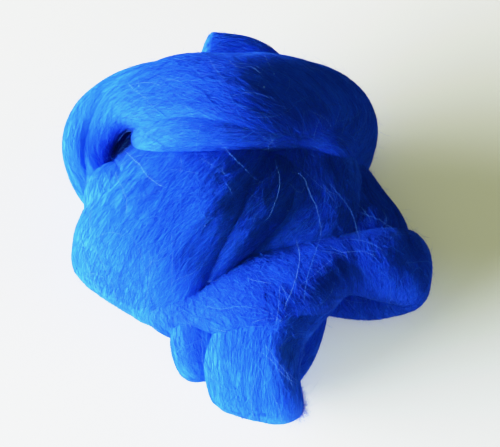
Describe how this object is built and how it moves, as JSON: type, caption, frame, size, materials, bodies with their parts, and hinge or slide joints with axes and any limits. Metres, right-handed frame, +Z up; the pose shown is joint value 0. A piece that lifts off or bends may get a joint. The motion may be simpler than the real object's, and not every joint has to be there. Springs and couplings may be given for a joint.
{
  "type": "wool roving",
  "caption": "Bundle of dyed combed wool roving, folded back and forth and wrapped over the top by its own strand.",
  "frame": {"origin": "on the flat underside on which the bundle rests, near the middle of the bundle", "axes": "+Z up from the resting surface, -Y towards the loose front loop, +X towards the folded arm, the wrap across the back along X"},
  "size_m": [0.184, 0.2109, 0.0622],
  "materials": {
    "dyed_wool": "matt combed fibre with a soft sheen"
  },
  "bodies": {
    "root": {"roving": "dyed_wool"}
  },
  "joints": []
}
